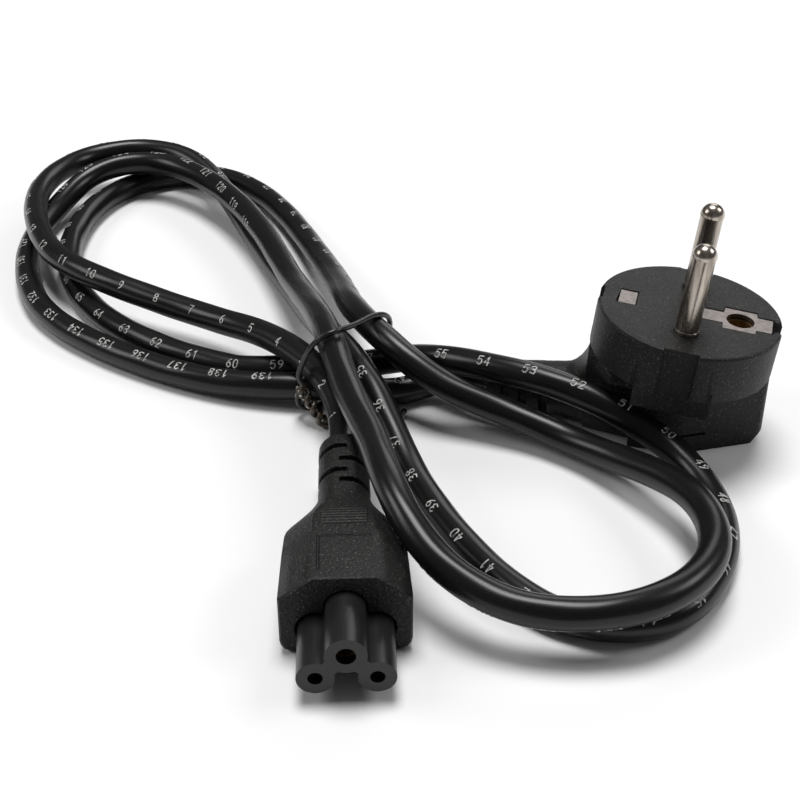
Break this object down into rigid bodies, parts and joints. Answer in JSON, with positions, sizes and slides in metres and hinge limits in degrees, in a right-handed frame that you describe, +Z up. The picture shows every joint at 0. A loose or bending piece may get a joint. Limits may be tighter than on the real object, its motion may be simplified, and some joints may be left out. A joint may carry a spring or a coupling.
{
  "type": "cloverleaf power cord",
  "caption": "Mains power cord in a tied bundle: angled earthed plug with round pins, round black cord and a cloverleaf appliance connector.",
  "frame": {"origin": "in the surface that the cord lies on, under the middle of the box around the plug and the connector", "axes": "+Z up from the surface, along the plug's pins to within 6 degrees; -Y the way the connector's nose points, to within 3 degrees; +X to the side where the plug lies"},
  "size_m": [0.1753, 0.2119, 0.0471],
  "materials": {
    "moulded_black": "fine grained matte black PVC, slightly scuffed",
    "insert_black": "smooth satin black nylon",
    "cord_black": "smooth satin black flexible PVC",
    "tie_black": "glossy black coating on wire",
    "nickel": "nickel plated brass, satin with fine lengthwise marks",
    "brass": "bare brass, dulled"
  },
  "bodies": {
    "root": {"plug_body": "moulded_black", "pin_front": "nickel", "pin_rear": "nickel", "earth_strip": "nickel", "earth_socket": "brass", "cord": "cord_black", "connector_body": "moulded_black", "cloverleaf_insert": "insert_black", "contact_sleeve_left": "brass", "contact_sleeve_right": "brass", "contact_sleeve_earth": "brass", "wire_tie": "tie_black"}
  },
  "joints": []
}
